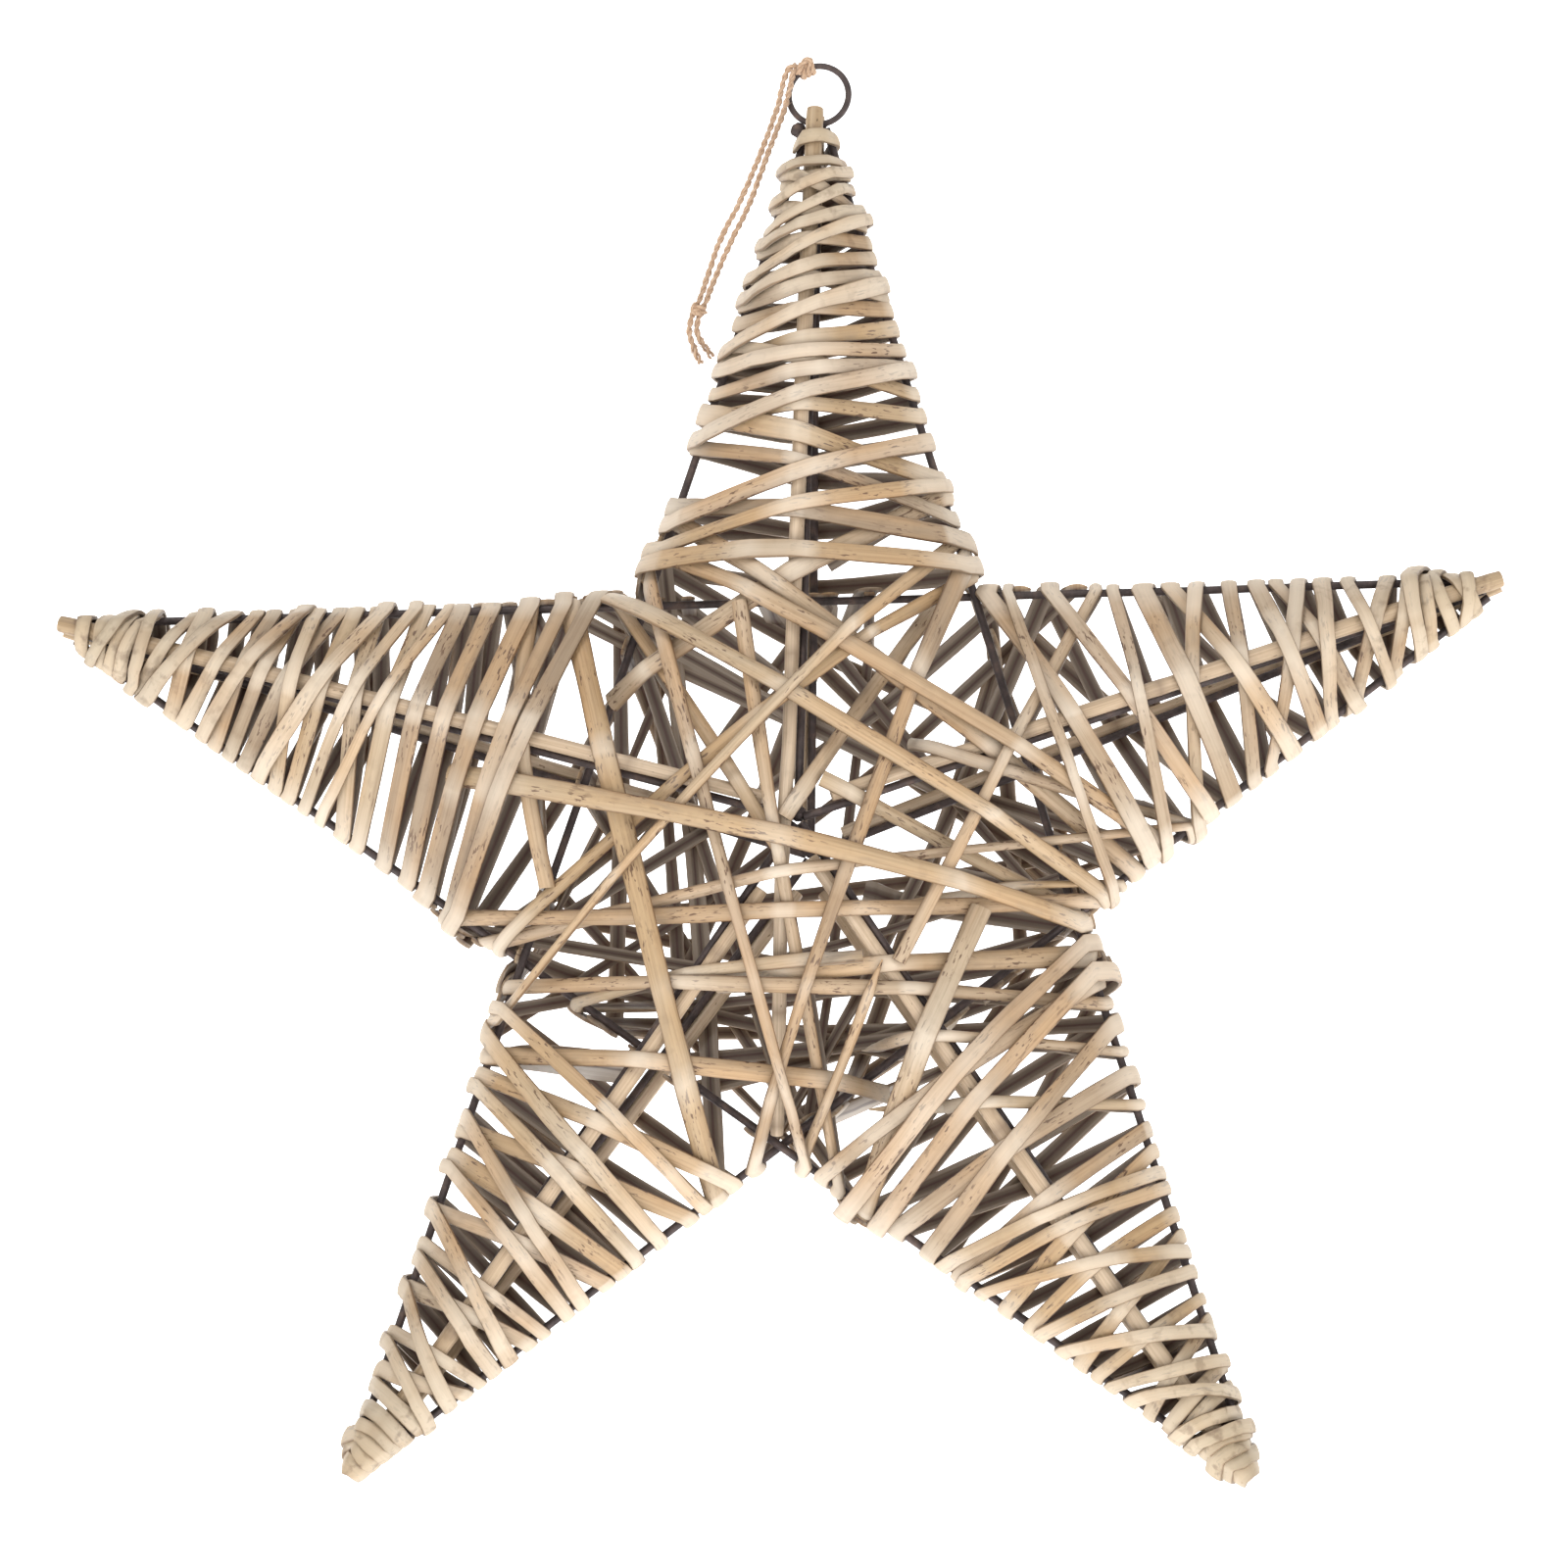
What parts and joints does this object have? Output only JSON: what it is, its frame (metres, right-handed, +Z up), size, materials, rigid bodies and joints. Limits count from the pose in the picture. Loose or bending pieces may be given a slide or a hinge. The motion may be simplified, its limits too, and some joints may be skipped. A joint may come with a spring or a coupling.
{
  "type": "wicker star",
  "caption": "Hanging five-pointed star of split willow wound over an iron wire frame, with a hanging ring and a jute string.",
  "frame": {"origin": "inner top of the hanging ring, where a hook carries the star", "axes": "+Z up, +X to the right seen from the front, the front of the star faces -Y"},
  "size_m": [0.6011, 0.1291, 0.5996],
  "materials": {
    "iron_wire": "dark, dull, slightly rusty drawn wire",
    "willow_stick": "peeled round willow, satin",
    "split_willow": "split willow with grey-brown grain and dark nodes, satin",
    "jute_twine": "rough twisted jute"
  },
  "bodies": {
    "root": {"hanging_ring": "iron_wire", "outline_wire_top_to_lower_right": "iron_wire", "outline_wire_right_to_lower_left": "iron_wire", "outline_wire_lower_right_to_left": "iron_wire", "outline_wire_lower_left_to_top": "iron_wire", "outline_wire_left_to_right": "iron_wire", "front_ridge_wire_top": "iron_wire", "front_ridge_wire_right": "iron_wire", "front_ridge_wire_lower_right": "iron_wire", "front_ridge_wire_lower_left": "iron_wire", "front_ridge_wire_left": "iron_wire", "back_ridge_wire_top": "iron_wire", "back_ridge_wire_right": "iron_wire", "back_ridge_wire_lower_right": "iron_wire", "back_ridge_wire_lower_left": "iron_wire", "back_ridge_wire_left": "iron_wire", "front_stick_top": "willow_stick", "front_stick_right": "willow_stick", "front_stick_lower_right": "willow_stick", "front_stick_lower_left": "willow_stick", "front_stick_left": "willow_stick", "back_stick_top": "willow_stick", "back_stick_right": "willow_stick", "back_stick_lower_right": "willow_stick", "back_stick_lower_left": "willow_stick", "back_stick_left": "willow_stick", "body_rod_1": "split_willow", "body_rod_2": "split_willow", "body_rod_3": "split_willow", "body_rod_4": "split_willow", "body_rod_5": "split_willow", "body_rod_6": "split_willow", "body_rod_7": "split_willow", "body_rod_8": "split_willow", "body_rod_9": "split_willow", "body_rod_10": "split_willow", "body_rod_11": "split_willow", "body_rod_12": "split_willow", "body_rod_13": "split_willow", "body_rod_14": "split_willow", "body_rod_15": "split_willow", "under_winding_top": "split_willow", "under_winding_right": "split_willow", "under_winding_lower_right": "split_willow", "under_winding_lower_left": "split_willow", "under_winding_left_tip": "split_willow", "under_winding_left_base": "split_willow", "over_winding_top": "split_willow", "over_winding_right": "split_willow", "over_winding_lower_right": "split_willow", "over_winding_lower_left": "split_willow", "over_winding_left_tip": "split_willow", "over_winding_left_base": "split_willow", "string_ring_knot": "jute_twine", "string_strand_1": "jute_twine", "string_strand_2": "jute_twine", "string_end_knot": "jute_twine", "string_tail_1": "jute_twine", "string_tail_2": "jute_twine"}
  },
  "joints": []
}
